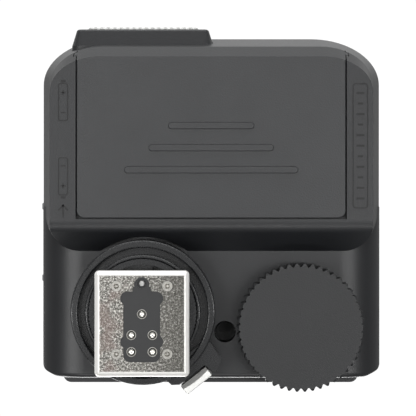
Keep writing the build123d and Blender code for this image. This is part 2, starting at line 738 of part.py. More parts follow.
with BuildPart() as dial_shaft:
    post((dial_x, dial_y), shaft_r - 0.5, (dial_z + 2.5, dial_top_z))
    post((dial_x, dial_y), shaft_r, (dial_top_z, inner_floor_z + 0.2))
    post((dial_x, dial_y), 1.6, (inner_floor_z + 0.2, 18.0))
save(dial_shaft, "dial_shaft")

with BuildPart() as dial_encoder:
    slab((dial_x - 6, dial_x + 6), (dial_y - 6, dial_y + 6), (inner_floor_z + 0.5, 20.2))
    post((dial_x, dial_y), 1.6 + running, (inner_floor_z, 18.3), mode=Mode.SUBTRACT)
    for x in (-2.5, 0, 2.5):
        slab((dial_x + x - 0.3, dial_x + x + 0.3), (dial_y - 7.5, dial_y - 6), (15.2, 15.6))
save(dial_encoder, "dial_encoder")

# ============================================================ keys on the sloped face
def key(outline_size, centre, corner):
    """A key cap that stands proud of the face, with a lip behind it that keeps it in."""
    with BuildPart() as cap:
        with BuildSketch(face_plane(-wall - 0.5)):
            with Locations(centre):
                RectangleRounded(outline_size[0], outline_size[1], corner)
        extrude(amount=wall + 0.5 + key_proud)
        top = cap.faces().filter_by(lambda f: f.normal_at().dot(face_plane(0).z_dir) > 0.99)
        fillet(top.edges(), 0.35)
        with BuildSketch(face_plane(-wall - 1.2)):
            with Locations(centre):
                RectangleRounded(outline_size[0] + 2 * key_lip, outline_size[1] + 2 * key_lip, corner)
        extrude(amount=0.8)
    return cap


for i in range(group_count):
    save(key(group_size, (group_x, group_first + i * group_pitch), 1.0), f"group_button_{i + 1}")
for i in range(row_count):
    save(key(row_size, (row_first + i * row_pitch, row_s), 1.2), f"function_button_{i + 1}")

with BuildPart() as set_button:
    with BuildSketch(face_plane(-wall - 0.5)):
        with Locations((group_x, row_s)):
            Circle(set_r)
    extrude(amount=wall + 0.5 + key_proud)
    set_top = set_button.faces().filter_by(lambda f: f.normal_at().dot(face_plane(0).z_dir) > 0.99)
    fillet(set_top.edges(), 0.4)
    with BuildSketch(face_plane(-wall - 1.2)):
        with Locations((group_x, row_s)):
            Circle(set_r + 0.4)
    extrude(amount=0.8)
save(set_button, "set_button")

board_x = (-45.2, 14.2)
mat_top = -wall - 1.2 - key_travel - 0.25
row_end = row_first + (row_count - 1) * row_pitch
with BuildPart() as keypad_mat:
    with BuildSketch(face_plane(mat_top)):
        with Locations(((group_x - 3.3 + row_end + 5) / 2, row_s)):
            RectangleRounded(row_end + 5 - group_x + 3.3, 7.0, 2.5)
        with Locations((group_x, (row_s + 42.2) / 2)):
            RectangleRounded(6.6, 42.2 - row_s, 0.8)
    extrude(amount=-0.8)
save(keypad_mat, "keypad_mat")

with BuildPart() as control_board:
    with BuildSketch(face_plane(mat_top - 0.9)):
        with Locations((sum(board_x) / 2, 22.6)):
            RectangleRounded(board_x[1] - board_x[0], 40.4, 3.0)
    extrude(amount=-1.2)
save(control_board, "control_board")

# ============================================================ display
with BuildPart() as display_window:
    with BuildSketch(face_plane(-window_thickness + 0.02)):
        with Locations(window_mid):
            RectangleRounded(window_x[1] - window_x[0] - 0.2, window_s[1] - window_s[0] - 0.2, 1.1)
    extrude(amount=window_thickness - 0.06)
save(display_window, "display_window")

with BuildPart() as lcd_module:
    with BuildSketch(face_plane(-wall - 0.15)):
        with Locations(window_mid):
            RectangleRounded(window_x[1] - window_x[0] - 1.0, window_s[1] - window_s[0] - 1.0, 0.6)
    extrude(amount=-1.3)
save(lcd_module, "lcd_module")

with BuildPart() as lcd_frame:
    frame_size = (window_x[1] - window_x[0] - 1.4, window_s[1] - window_s[0] - 1.4)
    with BuildSketch(face_plane(mat_top - 0.85)):
        with Locations(window_mid):
            RectangleRounded(*frame_size, 0.6)
            RectangleRounded(frame_size[0] - 5, frame_size[1] - 5, 0.6, mode=Mode.SUBTRACT)
    extrude(amount=-wall - 1.5 - mat_top + 0.85)
save(lcd_frame, "lcd_frame")

# ============================================================ boards and cells
board_z = bay_roof_z + roof_thickness + 1.4
body_x = body_right - wall - 1.6      # inner face of the switch sliders
with BuildPart() as main_board:
    slab((body_left + 4, body_x - 3.9), (belly_rear_y - 4, lamp_back_y - 1.2), (board_z, board_z + 1.4))
    for x in front_screw_x:
        post((x, front_screw_y), boss_r + 0.3, (board_z - 1, board_z + 3), mode=Mode.SUBTRACT)
    for x in (-34, -6):
        slab((x, x + 12), (24, 38), (board_z + 1.4, board_z + 2.6))
save(main_board, "main_board")

with BuildPart() as beeper:
    post((9, 18.4), 4.5, (board_z + 1.4, board_z + 4.4))
    post((9, 18.4), 0.8, (board_z + 3.4, board_z + 5), mode=Mode.SUBTRACT)
save(beeper, "beeper")

cell_mid_x = (bay_x[0] + bay_x[1]) / 2
with BuildPart() as aa_cells:
    for y, nub_side in zip(cell_rows, (1, -1)):
        shift = -0.55 * nub_side
        with Locations(Location((cell_mid_x + shift, y, cell_z), (0, 90, 0))):
            Cylinder(cell_r, cell_length - 1.2)
        with Locations(Location((cell_mid_x + shift + nub_side * (cell_length / 2 - 0.1), y, cell_z),
                                (0, 90, 0))):
            Cylinder(2.7, 1.0)
save(aa_cells, "aa_cells")

with BuildPart() as cell_plates:
    for y in cell_rows:
        slab((bay_x[0] + 0.02, bay_x[0] + 0.32), (y - 6, y + 6), (cell_z - 5, cell_z + 5))
        slab((bay_x[1] - 0.32, bay_x[1] - 0.02), (y - 6, y + 6), (cell_z - 5, cell_z + 5))
save(cell_plates, "cell_plates")

with BuildPart() as cell_springs:
    for y, nub_side in zip(cell_rows, (1, -1)):
        base = bay_x[0] + 0.34 if nub_side > 0 else bay_x[1] - 0.34
        cell_end = cell_mid_x - 0.55 * nub_side - nub_side * (cell_length - 1.2) / 2
        with Locations(Location(((base + cell_end) / 2, y, cell_z), (0, 90, 0))):
            Cylinder(3.6, abs(cell_end - base) - 0.04)
            Cylinder(2.9, abs(cell_end - base) + 1, mode=Mode.SUBTRACT)
save(cell_springs, "cell_springs")

# ============================================================ shoe on the deck
shoe_y_span = (shoe_y - shoe_rear, shoe_y + shoe_front)
rail_half = shoe_channel / 2 + shoe_sheet
lip_z_low = top_z - shoe_lip
shoe_floor_z = lip_z_low - shoe_slot
rail_base = 0.8
with BuildPart() as shoe_rails:
    with BuildSketch(section_y(shoe_y_span[0])) as rail_profile:
        with Locations((0, (deck_z + top_z) / 2)):
            Rectangle(2 * rail_half, top_z - deck_z)
        fillet(rail_profile.vertices().group_by(Axis.Y)[-1], 0.7)
        with Locations((0, (deck_z + rail_base + lip_z_low) / 2)):
            Rectangle(shoe_channel, lip_z_low - deck_z - rail_base, mode=Mode.SUBTRACT)
        with Locations((0, top_z)):
            Rectangle(shoe_gap, 2 * shoe_lip + 0.2, mode=Mode.SUBTRACT)
    extrude(amount=-(shoe_y_span[1] - shoe_y_span[0]))
    with BuildSketch(level(deck_z)):
        with Locations((0, sum(shoe_y_span) / 2)):
            RectangleRounded(2 * rail_half, shoe_y_span[1] - shoe_y_span[0], 1.0)
    extrude(amount=top_z - deck_z, mode=Mode.INTERSECT)
    with Locations((0, shoe_y - 2, deck_z)):
        Box(10, 14, 2 * rail_base + 0.2, mode=Mode.SUBTRACT)
    for x in (-6.8, 6.8):
        for y in (shoe_y - 9.0, shoe_y + 5.4):
            post((x, y), screw_r + 0.1, (deck_z - 1, deck_z + 1), mode=Mode.SUBTRACT)
save(shoe_rails, "shoe_rails")

shoe_contacts_at = {(0, 0): 1.3}
for row in contact_rows:
    for x in (-contact_x, contact_x):
        shoe_contacts_at[(x, row)] = 0.95

with BuildPart() as shoe_floor:
    slab((-shoe_channel / 2 + 0.05, shoe_channel / 2 - 0.05), (shoe_y_span[0] + 0.3, shoe_y_span[1]),
         (deck_z + rail_base, shoe_floor_z))
    stop_x = (-shoe_gap / 2 + 0.1, shoe_gap / 2 - 0.1)
    slab(stop_x, (shoe_y_span[1] - 0.1, shoe_y_span[1] + 1.6), (deck_z + rail_base, shoe_floor_z + 1.4))
    slab(stop_x, (shoe_y_span[1] + 0.05, shoe_y_span[1] + 1.6), (deck_z, shoe_floor_z))
    for (x, y), radius in shoe_contacts_at.items():
        post((x, shoe_y + y), radius, (deck_z, shoe_floor_z + 1), mode=Mode.SUBTRACT)
    post((0, shoe_y + pin_y), pin_r + 0.4, (deck_z, shoe_floor_z + 1), mode=Mode.SUBTRACT)
    for x in (-6.8, 6.8):
        for y in (shoe_y - 9.0, shoe_y + 5.4):
            post((x, y), screw_r + 0.1, (deck_z, shoe_floor_z + 1), mode=Mode.SUBTRACT)
            with Locations((x, y, shoe_floor_z - 0.4)):
                Cone(screw_r + 0.1, 1.75, 0.8, mode=Mode.SUBTRACT)
save(shoe_floor, "shoe_floor")

with BuildPart() as shoe_contacts:
    for (x, y), radius in shoe_contacts_at.items():
        post((x, shoe_y + y), radius - 0.03, (deck_z + rail_base, shoe_floor_z + 0.05))
save(shoe_contacts, "shoe_contacts")

with BuildPart() as shoe_screws:
    for x in (-6.8, 6.8):
        for y in (shoe_y - 9.0, shoe_y + 5.4):
            post((x, y), screw_r - 0.1, (deck_z - 3.5, shoe_floor_z - 0.1))
            with Locations((x, y, shoe_floor_z - 0.45)):
                Cone(screw_r - 0.1, 1.6, 0.7)
            slab((x - 1.1, x + 1.1), (y - 0.18, y + 0.18), (shoe_floor_z - 0.45, shoe_floor_z),
                 mode=Mode.SUBTRACT)
save(shoe_screws, "shoe_screws")

with BuildPart() as shoe_spring:
    for side in (-1, 1):
        with BuildSketch(section_x(side * 7.85 - 1.15)):
            with BuildLine():
                low = shoe_floor_z + 0.02
                start, end = shoe_y_span[0] + 5.6, shoe_y_span[1] - 5.6
                middle = (start + end) / 2
                ThreePointArc((start, low), (middle, low + 0.6), (end, low))
                Line((end, low), (end, low + 0.2))
                ThreePointArc((end, low + 0.2), (middle, low + 0.8), (start, low + 0.2))
                Line((start, low + 0.2), (start, low))
            make_face()
        extrude(amount=2.3)
save(shoe_spring, "shoe_spring")

with BuildPart() as status_lens:
    post((-17.5, shoe_y + 6), 1.0, (deck_z - 3, deck_z + 0.25))
    fillet(status_lens.edges().group_by(Axis.Z)[-1], 0.2)
save(status_lens, "status_lens")

# ============================================================ side controls
for name, y in zip(("power_switch", "lamp_switch"), switch_y):
    with BuildPart() as slider:
        slab((body_right - wall - 1.3, body_right - wall - 0.3), (y - 3.2, y + 3.2),
             (switch_z - 2.9, switch_z + 2.9))
        slab((body_right - wall - 0.4, body_right - 0.5), (y - 1.2, y + 1.2),
             (switch_z - 2.0, switch_z + 2.0))
        slab((body_right - 0.5, body_right + switch_proud), (y - switch_rib / 2, y + switch_rib / 2),
             (switch_z - 2.0, switch_z + 2.0))
        fillet(slider.edges().filter_by(Axis.Z).group_by(Axis.X)[-1], 0.35)
    save(slider, name)

with BuildPart() as test_button:
    slab((body_right - wall - 0.9, body_right - wall - 0.2), (test_y - 2.5, test_y + 2.5),
         (test_z - 2.1, test_z + 2.1))
    slab((body_right - wall - 0.4, body_right + 0.3), (test_y - 1.85, test_y + 1.85),
         (test_z - 1.4, test_z + 1.4))
    fillet(test_button.faces().sort_by(Axis.X)[-1].edges(), 0.25)
save(test_button, "test_button")

with BuildPart() as switch_bodies:
    for y in switch_y:
        slab((body_x - 3.5, body_x), (y - 3.6, y + 3.6 + switch_travel), (switch_z - 2.8, switch_z + 2.8))
    slab((body_x - 2.6, body_x - 0.2), (test_y - 2.5, test_y + 2.5), (test_z - 1.8, test_z + 1.4))
save(switch_bodies, "switch_bodies")

# ============================================================ sockets
with BuildPart() as usb_port:
    with BuildSketch(section_x(body_left + 0.4)):
        with Locations((usb_y, socket_z)):
            SlotOverall(9.2, 3.6)
            SlotOverall(8.6, 3.0, mode=Mode.SUBTRACT)
    extrude(amount=8)
    slab((body_left + 7.4, body_left + 8.4), (usb_y - 4.2, usb_y + 4.2), (socket_z - 1.4, socket_z + 1.4))
    slab((body_left + 1.6, body_left + 7.6), (usb_y - 3.2, usb_y + 3.2), (socket_z - 0.35, socket_z + 0.35))
save(usb_port, "usb_port")

with BuildPart() as sync_jack:
    with BuildSketch(section_x(body_left + 0.15)):
        with Locations((jack_y, socket_z)):
            Circle(2.85)
    extrude(amount=wall + 0.2)
    slab((body_left + wall + 0.3, body_left + wall + 0.3 + jack_depth), (jack_y - 3, jack_y + 3),
         (socket_z - 2.6, socket_z + 2.6))
    with BuildSketch(section_x(body_left)):
        with Locations((jack_y, socket_z)):
            Circle(jack_r)
    extrude(amount=jack_depth + 0.15, mode=Mode.SUBTRACT)
save(sync_jack, "sync_jack")

# ============================================================ case screws
with BuildPart() as case_screws:
    post(well, screw_r - 0.12, (well_seat_z, well_seat_z + boss_length))
    post(well, head_r, (well_seat_z - head_height, well_seat_z))
    with Locations((well[0], well[1], well_seat_z - head_height)):
        Box(2.2, 0.5, 1.0, mode=Mode.SUBTRACT)
        Box(0.5, 2.2, 1.0, mode=Mode.SUBTRACT)
    for x in front_screw_x:
        post((x, front_screw_y), screw_r - 0.12, (front_seat_z, front_boss_z[1] - 1))
        post((x, front_screw_y), head_r, (front_seat_z - head_height, front_seat_z))
        with Locations((x, front_screw_y, front_seat_z - head_height)):
            Box(2.2, 0.5, 1.0, mode=Mode.SUBTRACT)
            Box(0.5, 2.2, 1.0, mode=Mode.SUBTRACT)
save(case_screws, "case_screws")
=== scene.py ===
import math

import bmesh
import bpy
from mathutils import Matrix, Vector


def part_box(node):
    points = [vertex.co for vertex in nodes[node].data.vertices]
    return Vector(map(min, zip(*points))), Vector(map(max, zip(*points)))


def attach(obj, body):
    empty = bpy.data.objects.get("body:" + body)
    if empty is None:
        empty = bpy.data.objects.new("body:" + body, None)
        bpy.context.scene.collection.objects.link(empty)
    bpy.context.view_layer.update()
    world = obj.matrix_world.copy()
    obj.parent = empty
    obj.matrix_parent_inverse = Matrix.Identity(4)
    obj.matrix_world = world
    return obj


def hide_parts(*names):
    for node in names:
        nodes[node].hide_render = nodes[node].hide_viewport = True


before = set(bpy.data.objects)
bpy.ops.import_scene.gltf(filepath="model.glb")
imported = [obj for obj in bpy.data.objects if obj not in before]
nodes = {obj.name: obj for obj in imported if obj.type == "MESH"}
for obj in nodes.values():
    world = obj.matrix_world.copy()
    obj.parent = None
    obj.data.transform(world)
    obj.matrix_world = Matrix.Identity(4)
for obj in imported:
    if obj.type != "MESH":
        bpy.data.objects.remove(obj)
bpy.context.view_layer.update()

mm = 0.001


# ---- lower case ----
# An injection-moulded ABS shell with a spark-eroded texture, so its black is a soft charcoal with a
# faint grain. The upper case and the lamp housing on its front edge are moulded alike.
class Socket:
    """One output of a material's nodes. Plain arithmetic on it adds the Math nodes."""

    def __init__(self, tree, output):
        self.tree, self.output = tree, output

    def node(self, kind, settings=None, sockets=None):
        made = self.tree.nodes.new(kind)
        for name, value in (settings or {}).items():
            if name == "stops":
                ramp = made.color_ramp
                while len(ramp.elements) < len(value):
                    ramp.elements.new(1.0)
                for element, (position, shade) in zip(ramp.elements, value):
                    element.position, element.color = position, (*shade, 1.0)
            else:
                setattr(made, name, value)
        for name, value in (sockets or {}).items():
            if isinstance(value, Socket):
                self.tree.links.new(value.output, made.inputs[name])
            else:
                made.inputs[name].default_value = value
        return Socket(self.tree, made.outputs[0])

    def maths(self, operation, *others):
        values = dict(enumerate((self, *others)))
        return self.node("ShaderNodeMath", {"operation": operation}, values)

    def __add__(self, other):
        return self.maths("ADD", other)

    def __sub__(self, other):
        return self.maths("SUBTRACT", other)

    def __rsub__(self, other):
        return (self * -1.0) + other

    def __mul__(self, other):
        return self.maths("MULTIPLY", other)

    __radd__ = __add__
    __rmul__ = __mul__

    def noise(self, size, detail=2.0, roughness=0.5):
        """Noise whose spots are about size metres across."""
        return self.node("ShaderNodeTexNoise", None,
                         {"Vector": self, "Scale": 1.0 / size, "Detail": detail, "Roughness": roughness})

    def ramp(self, *stops):
        return self.node("ShaderNodeValToRGB", {"stops": stops}, {"Fac": self})

    def between(self, low, high):
        """0 below low and 1 above high, with a smooth rise."""
        return self.node("ShaderNodeMapRange", {"interpolation_type": "SMOOTHSTEP"},
                         {"Value": self, "From Min": low, "From Max": high})

    def mixed(self, first, second):
        """A colour from first to second as this goes from 0 to 1."""
        made = self.tree.nodes.new("ShaderNodeMix")
        made.data_type = "RGBA"
        factor, colour_a, colour_b, mix = made.inputs[0], made.inputs[6], made.inputs[7], made.outputs[2]
        for socket, value in ((factor, self), (colour_a, first), (colour_b, second)):
            if isinstance(value, Socket):
                self.tree.links.new(value.output, socket)
            else:
                socket.default_value = (*value, 1.0)
        return Socket(self.tree, mix)

    def axes(self):
        split = self.tree.nodes.new("ShaderNodeSeparateXYZ")
        self.tree.links.new(self.output, split.inputs[0])
        return [Socket(self.tree, split.outputs[i]) for i in range(3)]

    def bump(self, distance, strength=1.0):
        return self.node("ShaderNodeBump", None,
                         {"Height": self, "Distance": distance, "Strength": strength})


def finish(name, colour, roughness=0.5, metallic=0.0, **sockets):
    """A new Principled material, its place socket, and a function that feeds its sockets."""
    material = bpy.data.materials.new(name)
    material.use_nodes = True
    tree = material.node_tree
    shader = tree.nodes["Principled BSDF"]

    def feed(**values):
        for key, value in values.items():
            socket = shader.inputs[key.replace("_", " ")]
            if isinstance(value, Socket):
                tree.links.new(value.output, socket)
            elif isinstance(value, tuple):
                socket.default_value = (*value, 1.0)
            else:
                socket.default_value = value

    feed(Base_Color=colour, Roughness=roughness, Metallic=metallic, **sockets)
    place = Socket(tree, tree.nodes.new("ShaderNodeTexCoord").outputs["Object"])
    return material, place, feed


def moulded(name, colour, roughness, grain, depth):
    """Textured plastic: grain is the size of the texture in metres, and depth is its height."""
    material, place, feed = finish(name, colour, roughness)
    cloud = place.noise(9 * mm, 3.0)
    fine = place.noise(grain, 2.0)
    light = tuple(c * 1.16 for c in colour)
    dark = tuple(c * 0.86 for c in colour)
    mottle = (cloud * 0.45 + fine * 0.55).between(0.25, 0.75)
    feed(
        Base_Color=mottle.mixed(dark, light),
        Roughness=roughness - 0.07 + 0.14 * fine,
        Normal=fine.bump(depth, 0.5),
    )
    return material


def dress(material, *names):
    for name in names:
        for slot in nodes[name].material_slots:
            slot.material = material


def soften(name, radius):
    """Rounds a moulding's sharp edges a little, so that they catch a line of light."""
    edge = nodes[name].modifiers.new("soft_edges", "BEVEL")
    edge.width, edge.segments, edge.limit_method = radius, 2, "ANGLE"
    edge.angle_limit = math.radians(32)
    edge.harden_normals = True


case_plastic = moulded("case_plastic", (0.0105, 0.0112, 0.0127), 0.41, 0.28 * mm, 0.030 * mm)
dress(case_plastic, "bottom_case", "top_case", "lamp_housing")
soften("bottom_case", 0.14 * mm)
soften("top_case", 0.12 * mm)
soften("lamp_housing", 0.2 * mm)

# ---- moulded marks on the lower case ----
# Low relief from the mould: a blank frame with plain bars on one border of the battery section, and
# on the other a pair of cell outlines with their polarity signs and an arrow for the lid.
belly_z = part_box("battery_door")[0].z + 0.35 * mm
relief = 0.07 * mm
stroke = 0.24 * mm


def raised_outline(mesh, centre, size, corner, line):
    """Adds a rounded frame of a given line width, flat on the underside."""
    outer = bmesh.ops.create_grid(mesh, x_segments=1, y_segments=1, size=0.5)["verts"]
    bmesh.ops.scale(mesh, verts=outer, vec=(size[0], size[1], 1.0))
    bmesh.ops.translate(mesh, verts=outer, vec=(centre[0], centre[1], belly_z))
    face = outer[0].link_faces[0]
    rounded = bmesh.ops.bevel(mesh, geom=list(face.verts), offset=corner, segments=5, profile=0.5,
                              affect="VERTICES", material=-1)
    face = max(rounded["faces"] + [f for v in rounded["verts"] for f in v.link_faces],
               key=lambda f: f.calc_area())
    bmesh.ops.inset_region(mesh, faces=[face], thickness=line, use_even_offset=True, use_boundary=True)
    bmesh.ops.delete(mesh, geom=[face], context="FACES_ONLY")


def raised_bar(mesh, centre, size, angle=0.0):
    """Adds a plain bar of the same relief, turned by an angle."""
    made = bmesh.ops.create_grid(mesh, x_segments=1, y_segments=1, size=0.5)["verts"]
    bmesh.ops.scale(mesh, verts=made, vec=(size[0], size[1], 1.0))
    bmesh.ops.rotate(mesh, verts=made, matrix=Matrix.Rotation(angle, 3, "Z"))
    bmesh.ops.translate(mesh, verts=made, vec=(centre[0], centre[1], belly_z))


marks = bmesh.new()
frame_x, frame_y = -43.3 * mm, 33.2 * mm
frame_size, frame_corner, frame_line = (3.1 * mm, 25.0 * mm), 0.7 * mm, 0.22 * mm
bar_pitch, bar_width = 2.1 * mm, 0.42 * mm
bar_lengths = (1.6, 1.6, 1.1, 1.6, 1.1, 1.6, 1.6, 1.1, 1.6, 1.1, 1.6)
raised_outline(marks, (frame_x, frame_y), frame_size, frame_corner, frame_line)
for i, length in enumerate(bar_lengths):
    raised_bar(marks, (frame_x, frame_y + (i - 5) * bar_pitch), (length * mm, bar_width))
cell_x, cell_size, cell_corner, cell_line = 15.9 * mm, (2.0 * mm, 7.6 * mm), 0.5 * mm, 0.2 * mm
nub_reach, nub_size = 4.2 * mm, (0.9 * mm, 0.45 * mm)
plus_reach, minus_reach, sign_size = 1.9 * mm, 2.1 * mm, 1.0 * mm
for cell_y, sign in ((41.9 * mm, 1), (27.1 * mm, -1)):
    raised_outline(marks, (cell_x, cell_y), cell_size, cell_corner, cell_line)
    raised_bar(marks, (cell_x, cell_y + sign * nub_reach), nub_size)
    raised_bar(marks, (cell_x, cell_y + sign * plus_reach), (sign_size, stroke))
    raised_bar(marks, (cell_x, cell_y + sign * plus_reach), (stroke, sign_size))
    raised_bar(marks, (cell_x, cell_y - sign * minus_reach), (sign_size, stroke))
arrow_y, arrow_length, arrow_line = 20.2 * mm, 2.6 * mm, 0.26 * mm
barb_x, barb_y, barb_length, barb_turn = 0.42 * mm, 0.7 * mm, 1.5 * mm, 0.75
for side in (-1, 1):
    raised_bar(marks, (cell_x + side * barb_x, arrow_y + barb_y), (arrow_line, barb_length), side * barb_turn)
raised_bar(marks, (cell_x, arrow_y), (arrow_line, arrow_length))
mark_mesh = bpy.data.meshes.new("moulded_marks")
marks.to_mesh(mark_mesh)
marks.free()
moulded_marks = bpy.data.objects.new("moulded_marks", mark_mesh)
bpy.context.collection.objects.link(moulded_marks)
thick = moulded_marks.modifiers.new("relief", "SOLIDIFY")
thick.thickness = relief * 2
thick.offset = 0.0
# Painted shade: the marks are the case's own plastic, coloured near-black in place of the shade along their
# relief.
marks_painted_shade = moulded("marks_painted_shade", (0.003, 0.003, 0.0035), 0.60, 0.28 * mm, 0.01 * mm)
mark_mesh.materials.append(marks_painted_shade)
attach(moulded_marks, "root")

# ---- battery door ----
# The lid is the case's plastic, coloured a touch lighter than the case as painted light. Three finger
# bars are moulded across it, and a tongue along each side slides in the case.
door_plastic = moulded("door_plastic", (0.019, 0.020, 0.0215), 0.42, 0.30 * mm, 0.075 * mm)
dress(door_plastic, "battery_door")
soften("battery_door", 0.12 * mm)

# ---- cells and their contacts ----
# Two AA cells in printed sleeves over steel cans, with nickelled end plates and a coil spring at
# each cell's flat end, wound as a cone so that it closes flat.
cell_jacket, place, feed = finish("cell_jacket", (0.12, 0.30, 0.22), 0.3, 0.2, Coat_Weight=0.6)
along = place.axes()[0]
band = along.maths("ABSOLUTE").between(21 * mm, 21.3 * mm)
feed(Base_Color=band.mixed((0.05, 0.20, 0.15), (0.70, 0.68, 0.62)),
     Metallic=band, Roughness=0.26 + 0.12 * place.noise(2 * mm))
dress(cell_jacket, "aa_cells")


def metal(name, colour, roughness, grain, strength=0.25, stretch=None):
    """Plated metal with fine handling marks, stretched along an axis if it was brushed."""
    material, place, feed = finish(name, colour, roughness, 1.0)
    if stretch:
        place = place.node("ShaderNodeMapping", None, {"Vector": place, "Scale": stretch})
    marks = place.noise(grain, 3.0)
    light = tuple(min(1.0, c * 1.12) for c in colour)
    dark = tuple(c * 0.82 for c in colour)
    feed(Base_Color=marks.between(0.3, 0.7).mixed(dark, light),
         Roughness=roughness - strength * 0.4 + strength * 0.8 * marks,
         Normal=marks.bump(0.01 * mm, 0.3))
    return material


spring_steel = metal("spring_steel", (0.66, 0.65, 0.62), 0.30, 0.5 * mm)
dress(spring_steel, "contact_springs", "cell_plates", "shoe_spring")

cells_low, cells_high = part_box("aa_cells")
springs_low, springs_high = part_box("cell_springs")
cell_radius = (cells_high.z - cells_low.z) / 2
wire, wide, narrow = 0.24 * mm, 3.35 * mm, 2.35 * mm
foot_gap, coil_height = 0.26 * mm, 0.56 * mm
steps, steps_per_turn = 72, 30
for name, y, base, inward in (("spring_one", cells_low.y + cell_radius, springs_low.x, 1),
                              ("spring_two", cells_high.y - cell_radius, springs_high.x, -1)):
    coil = bpy.data.curves.new(name, "CURVE")
    coil.dimensions, coil.bevel_depth, coil.bevel_resolution = "3D", wire, 3
    line = coil.splines.new("POLY")
    line.points.add(steps)
    for i in range(steps + 1):
        turn, radius = i * math.tau / steps_per_turn, wide - (wide - narrow) * i / steps
        line.points[i].co = (base + inward * (foot_gap + coil_height * i / steps),
                             y + radius * math.cos(turn),
                             cells_low.z + cell_radius + radius * math.sin(turn), 1.0)
    coil_object = bpy.data.objects.new(name, coil)
    bpy.context.collection.objects.link(coil_object)
    coil.materials.append(spring_steel)
    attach(coil_object, "root")
    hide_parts("cell_springs")

# ---- foot plate and its rivets ----
# Steel pressed to the standard foot's outline, blasted so that its face is a coarse grey sparkle,
# nickelled, and rolled round its edges, where a near-white band is a painted highlight. Painted
# shade darkens the face towards one side. Four rivets are swaged in it.
foot_low, foot_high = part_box("foot_plate")
foot_mid_y = (foot_low.y + foot_high.y) / 2
rim_width = 1.0 * mm
foot_nickel, place, feed = finish("foot_nickel", (0.5, 0.5, 0.48), 0.4, 1.0)
x, y, z = place.axes()
rim_x = x.maths("ABSOLUTE") - (foot_high.x - rim_width)
rim_y = (y - foot_mid_y).maths("ABSOLUTE") - ((foot_high.y - foot_low.y) / 2 - rim_width)
past_rim = rim_x.maths("MAXIMUM", rim_y)
rim_painted_highlight = past_rim.between(-0.15 * mm, 0.25 * mm)
roll = 1.0 - past_rim.between(-0.1 * mm, 0.8 * mm)
coarse = place.noise(0.42 * mm, 2.0, 0.7)
speck = place.noise(0.17 * mm, 2.0, 0.6)
patch = place.noise(5.0 * mm, 2.0)
sparkle = (coarse * 0.55 + speck * 0.45).ramp(
    (0.38, (0.035, 0.034, 0.031)), (0.48, (0.16, 0.155, 0.142)), (0.55, (0.42, 0.41, 0.38)),
    (0.62, (0.97, 0.95, 0.90)))
warm = (patch.between(0.45, 0.62) * x.between(1.5 * mm, 6.0 * mm)) * 0.45
# Painted shade: the face is mixed towards dark grey on its -x side, standing in for light falling from the +x
# side.
shade = (1.0 - x.between(-9.0 * mm, 4.0 * mm)) * 0.5 + 0.25
sparkle_with_painted_shade = shade.mixed(warm.mixed(sparkle, (0.22, 0.155, 0.14)), (0.06, 0.058, 0.052))
# Painted highlight: a near-white, less metallic band round the edges stands in for the light that the rounded
# edges catch.
feed(Base_Color=rim_painted_highlight.mixed(sparkle_with_painted_shade, (0.97, 0.96, 0.93)),
     Roughness=0.44 - 0.1 * rim_painted_highlight + 0.1 * speck, Metallic=1.0 - 0.55 * rim_painted_highlight,
     Normal=(coarse * (1.0 - rim_painted_highlight) * 0.18 + roll).bump(0.30 * mm, 1.0))
dress(foot_nickel, "foot_plate")
soften("foot_plate", 0.16 * mm)
rivet_nickel = metal("rivet_nickel", (0.42, 0.41, 0.38), 0.34, 0.3 * mm)
dress(rivet_nickel, "foot_rivets")

# ---- contact block and pins ----
# A smooth black block fills the plate's waisted window. Five plated pins with domed ends spring
# out of it, and a thin dark pin drops out near its front.
block_plastic = moulded("block_plastic", (0.012, 0.0125, 0.0135), 0.44, 0.2 * mm, 0.03 * mm)
dress(block_plastic, "foot_insert")
contact_plating = metal("contact_plating", (0.93, 0.90, 0.84), 0.16, 0.3 * mm, 0.15)
pins = [name for name in nodes if name.startswith("contact_") and name != "contact_springs"]
dress(contact_plating, *pins)
pin_steel = metal("pin_steel", (0.42, 0.42, 0.41), 0.35, 0.2 * mm)
dress(pin_steel, "lock_pin")

# ---- lock ring, lever and pedestal ----
# The ring, the pedestal it turns on and its retainer are moulded in smoother black, so their rims
# catch thin lines of light. The ring's lever ends in a folded bright steel tab, painted dark inside
# the fold as painted shade and pale beyond it as painted highlight.
ring_plastic = moulded("ring_plastic", (0.011, 0.0115, 0.0125), 0.27, 0.18 * mm, 0.006 * mm)
dress(ring_plastic, "lock_ring", "foot_post", "ring_retainer")
tab_metal, place, feed = finish("tab_metal", (0.5, 0.5, 0.5), 0.40, 1.0)
x, y, z = place.axes()
fold_radius = 17.1 * mm
fold_step_and_painted_light = (x * x + y * y).maths("SQRT").between(fold_radius, fold_radius + 0.2 * mm)
grain = place.noise(0.3 * mm, 3.0)
# Painted shade and highlight: dark grey inside the fold radius and pale grey beyond it, on one steel tab.
feed(Base_Color=fold_step_and_painted_light.mixed((0.17, 0.17, 0.165), (0.74, 0.74, 0.72)),
     Roughness=0.34 + 0.12 * grain, Normal=(fold_step_and_painted_light + grain * 0.1).bump(0.12 * mm, 0.6))
dress(tab_metal, "lock_tab")

# ---- select dial ----
# A thumbwheel moulded in the case's charcoal, with a plain face and fifty teeth round it. Its
# spindle is the same plastic.
dial_plastic = moulded("dial_plastic", (0.0075, 0.0080, 0.0090), 0.52, 0.28 * mm, 0.07 * mm)
dress(dial_plastic, "select_dial", "dial_shaft")

